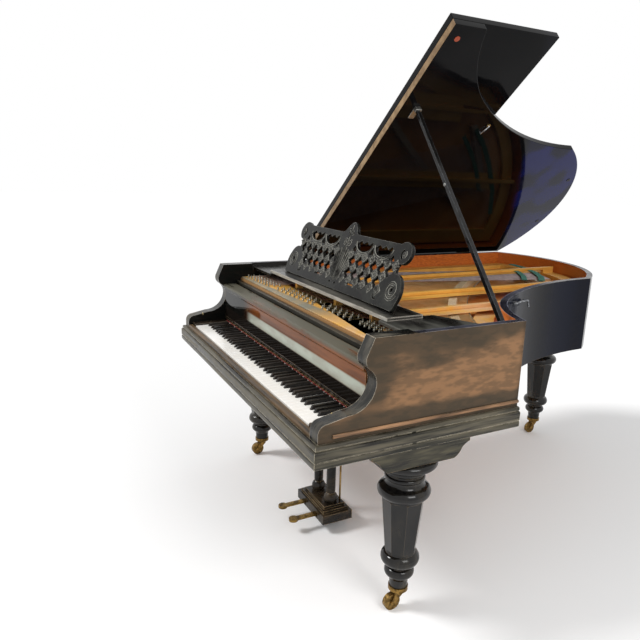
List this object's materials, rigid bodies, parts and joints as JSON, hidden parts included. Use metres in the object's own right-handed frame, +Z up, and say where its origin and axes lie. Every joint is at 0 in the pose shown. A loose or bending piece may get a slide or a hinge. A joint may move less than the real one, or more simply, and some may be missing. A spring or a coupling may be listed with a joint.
{
  "type": "grand piano",
  "caption": "Grand piano in ebonised wood with turned octagonal legs on casters, pierced music desk, pedal lyre and a hinged lid held up on its prop.",
  "frame": {"origin": "on the floor, under the middle of the whole piano's box", "axes": "+X to the treble side, +Y from the keyboard to the tail, +Z up"},
  "size_m": [1.4873, 1.9899, 1.9152],
  "materials": {
    "ebonised_wood": "ebonised and polished, worn on its edges",
    "red_wood": "red-brown varnish",
    "plain_wood": "plain wood",
    "spruce": "yellowed varnish",
    "gilt_iron": "gold paint",
    "steel": "bright wire and pins",
    "copper": "copper-wound wire",
    "dark_wood": "dark polished wood",
    "worn_wood": "ebonised, worn to the brown",
    "key_white": "ivory white",
    "key_black": "satin ebony",
    "felt": "pressed wool felt",
    "brass": "aged brass",
    "rubber": "red rubber"
  },
  "bodies": {
    "case": {"outer_rim": "ebonised_wood", "inner_rim": "red_wood", "frame_beams": "plain_wood", "soundboard": "spruce", "soundboard_ribs": "plain_wood", "bridges": "plain_wood", "iron_plate": "gilt_iron", "pin_block": "plain_wood", "tuning_pins": "steel", "treble_strings": "steel", "bass_strings": "copper", "keybed": "plain_wood", "bass_arm": "ebonised_wood", "treble_arm": "ebonised_wood", "key_slip": "ebonised_wood", "key_blocks": "ebonised_wood", "base_moulding": "worn_wood", "side_beads": "worn_wood", "nameboard_rail": "ebonised_wood", "lid_hinges": "brass", "prop_bracket": "brass", "desk_wings": "ebonised_wood", "leg_brackets": "worn_wood", "bass_leg": "ebonised_wood", "treble_leg": "ebonised_wood", "tail_leg": "ebonised_wood", "caster_cups": "brass", "lyre_box": "ebonised_wood", "lyre_posts": "ebonised_wood"},
    "front_lid": {"front_lid": "ebonised_wood"},
    "lid": {"main_lid": "ebonised_wood", "lid_leaves": "brass", "prop_cup": "brass", "lid_buffers": "rubber"},
    "lid_prop": {"lid_prop": "ebonised_wood"},
    "fallboard": {"fallboard": "dark_wood"},
    "music_shelf": {"music_shelf": "ebonised_wood"},
    "music_desk": {"music_desk": "ebonised_wood"},
    "desk_struts": {"desk_struts": "dark_wood"},
    "key_frame": {"key_frame": "plain_wood", "action_rail": "plain_wood"},
    "damper_heads": {"damper_heads": "dark_wood"},
    "soft_pedal": {"soft_pedal": "brass"},
    "sustain_pedal": {"sustain_pedal": "brass"},
    "soft_pedal_rod": {"soft_pedal_rod": "steel"},
    "sustain_pedal_rod": {"sustain_pedal_rod": "steel"},
    "bass_naturals": {"bass_naturals": "key_white"},
    "bass_natural_hammers": {"bass_natural_hammers": "felt"},
    "bass_sharps": {"bass_sharps": "key_black"},
    "bass_sharp_hammers": {"bass_sharp_hammers": "felt"},
    "treble_naturals": {"treble_naturals": "key_white"},
    "treble_natural_hammers": {"treble_natural_hammers": "felt"},
    "treble_sharps": {"treble_sharps": "key_black"},
    "treble_sharp_hammers": {"treble_sharp_hammers": "felt"},
    "bass_fork": {"bass_fork": "brass"},
    "bass_wheel": {"bass_wheel": "brass"},
    "treble_fork": {"treble_fork": "brass"},
    "treble_wheel": {"treble_wheel": "brass"},
    "tail_fork": {"tail_fork": "brass"},
    "tail_wheel": {"tail_wheel": "brass"}
  },
  "joints": [
    {"name": "lid_hinge", "type": "hinge", "parent": "case", "child": "lid", "pos_m": [-0.7166, 0, 0.979], "axis": [0, -1, 0], "range_deg": [0, 22]},
    {"name": "flap_fold", "type": "hinge", "parent": "lid", "child": "front_lid", "pos_m": [-0.73233, -0.375, 0.99863], "axis": [0.7804, 0, 0.6252], "range_deg": [0, 180]},
    {"name": "prop_swing", "type": "hinge", "parent": "case", "child": "lid_prop", "pos_m": [0.6718, -0.31, 0.96], "axis": [0, -1, 0], "range_deg": [0, 51]},
    {"name": "fallboard_turn", "type": "hinge", "parent": "case", "child": "fallboard", "pos_m": [0, -0.799, 0.73], "axis": [1, 0, 0], "range_deg": [0, 90]},
    {"name": "shelf_slide", "type": "slide", "parent": "case", "child": "music_shelf", "axis": [0, 1, 0], "range_m": [-0.045, 0.06]},
    {"name": "desk_tilt", "type": "hinge", "parent": "music_shelf", "child": "music_desk", "pos_m": [0, -0.577, 0.9706], "axis": [-1, 0, 0], "range_deg": [0, 66]},
    {"name": "strut_fold", "type": "hinge", "parent": "music_shelf", "child": "desk_struts", "pos_m": [0, -0.49, 0.9643], "axis": [-1, 0, 0], "range_deg": [0, 117]},
    {"name": "keyboard_shift", "type": "slide", "parent": "case", "child": "key_frame", "axis": [1, 0, 0], "range_m": [0, 0.003], "stiffness_N_per_m": 4000, "springref_m": -0.006},
    {"name": "bass_natural_keys_dip", "type": "hinge", "parent": "key_frame", "child": "bass_naturals", "pos_m": [0, -0.73, 0.688], "axis": [1, 0, 0], "range_deg": [0, 2.5], "stiffness_Nm_per_rad": 25, "springref_deg": -3.44},
    {"name": "bass_natural_hammers_rise", "type": "hinge", "parent": "key_frame", "child": "bass_natural_hammers", "pos_m": [0, -0.645, 0.815], "axis": [1, 0, 0], "range_deg": [0, 20]},
    {"name": "bass_sharp_keys_dip", "type": "hinge", "parent": "key_frame", "child": "bass_sharps", "pos_m": [0, -0.73, 0.688], "axis": [1, 0, 0], "range_deg": [0, 2.5], "stiffness_Nm_per_rad": 25, "springref_deg": -3.44},
    {"name": "bass_sharp_hammers_rise", "type": "hinge", "parent": "key_frame", "child": "bass_sharp_hammers", "pos_m": [0, -0.645, 0.815], "axis": [1, 0, 0], "range_deg": [0, 20]},
    {"name": "treble_natural_keys_dip", "type": "hinge", "parent": "key_frame", "child": "treble_naturals", "pos_m": [0, -0.73, 0.688], "axis": [1, 0, 0], "range_deg": [0, 2.5], "stiffness_Nm_per_rad": 25, "springref_deg": -3.44},
    {"name": "treble_natural_hammers_rise", "type": "hinge", "parent": "key_frame", "child": "treble_natural_hammers", "pos_m": [0, -0.645, 0.815], "axis": [1, 0, 0], "range_deg": [0, 20]},
    {"name": "treble_sharp_keys_dip", "type": "hinge", "parent": "key_frame", "child": "treble_sharps", "pos_m": [0, -0.73, 0.688], "axis": [1, 0, 0], "range_deg": [0, 2.5], "stiffness_Nm_per_rad": 25, "springref_deg": -3.44},
    {"name": "treble_sharp_hammers_rise", "type": "hinge", "parent": "key_frame", "child": "treble_sharp_hammers", "pos_m": [0, -0.645, 0.815], "axis": [1, 0, 0], "range_deg": [0, 20]},
    {"name": "soft_pedal_press", "type": "hinge", "parent": "case", "child": "soft_pedal", "pos_m": [-0.03, -0.595, 0.052], "axis": [1, 0, 0], "range_deg": [0, 3.2], "stiffness_Nm_per_rad": 20, "springref_deg": -5.73},
    {"name": "sustain_pedal_press", "type": "hinge", "parent": "case", "child": "sustain_pedal", "pos_m": [0.08, -0.595, 0.052], "axis": [1, 0, 0], "range_deg": [0, 3.2], "stiffness_Nm_per_rad": 20, "springref_deg": -5.73},
    {"name": "soft_rod_lift", "type": "slide", "parent": "case", "child": "soft_pedal_rod", "axis": [0, 0, 1], "range_m": [0, 0.0023]},
    {"name": "sustain_rod_lift", "type": "slide", "parent": "case", "child": "sustain_pedal_rod", "axis": [0, 0, 1], "range_m": [0, 0.0023]},
    {"name": "damper_lift", "type": "slide", "parent": "case", "child": "damper_heads", "axis": [0, 0, 1], "range_m": [0, 0.004]},
    {"name": "bass_swivel", "type": "hinge", "parent": "case", "child": "bass_fork", "pos_m": [-0.636, -0.627, 0.067], "axis": [0, 0, 1], "continuous": true},
    {"name": "bass_roll", "type": "hinge", "parent": "bass_fork", "child": "bass_wheel", "pos_m": [-0.636, -0.651, 0.029], "axis": [1, 0, 0], "continuous": true},
    {"name": "treble_swivel", "type": "hinge", "parent": "case", "child": "treble_fork", "pos_m": [0.636, -0.627, 0.067], "axis": [0, 0, 1], "continuous": true},
    {"name": "treble_roll", "type": "hinge", "parent": "treble_fork", "child": "treble_wheel", "pos_m": [0.636, -0.651, 0.029], "axis": [1, 0, 0], "continuous": true},
    {"name": "tail_swivel", "type": "hinge", "parent": "case", "child": "tail_fork", "pos_m": [-0.254, 0.877, 0.067], "axis": [0, 0, 1], "continuous": true},
    {"name": "tail_roll", "type": "hinge", "parent": "tail_fork", "child": "tail_wheel", "pos_m": [-0.254, 0.853, 0.029], "axis": [1, 0, 0], "continuous": true}
  ],
  "couplings": [
    {"joint": "strut_fold", "follows": "desk_tilt", "ratio": 1.77},
    {"joint": "bass_natural_hammers_rise", "follows": "bass_natural_keys_dip", "ratio": 8},
    {"joint": "bass_sharp_hammers_rise", "follows": "bass_sharp_keys_dip", "ratio": 8},
    {"joint": "treble_natural_hammers_rise", "follows": "treble_natural_keys_dip", "ratio": 8},
    {"joint": "treble_sharp_hammers_rise", "follows": "treble_sharp_keys_dip", "ratio": 8},
    {"joint": "soft_pedal_press", "follows": "keyboard_shift", "rad_per_m": 18.598},
    {"joint": "soft_rod_lift", "follows": "keyboard_shift", "ratio": 0.7447},
    {"joint": "sustain_rod_lift", "follows": "sustain_pedal_press", "m_per_rad": 0.04},
    {"joint": "damper_lift", "follows": "sustain_pedal_press", "m_per_rad": 0.0715}
  ]
}
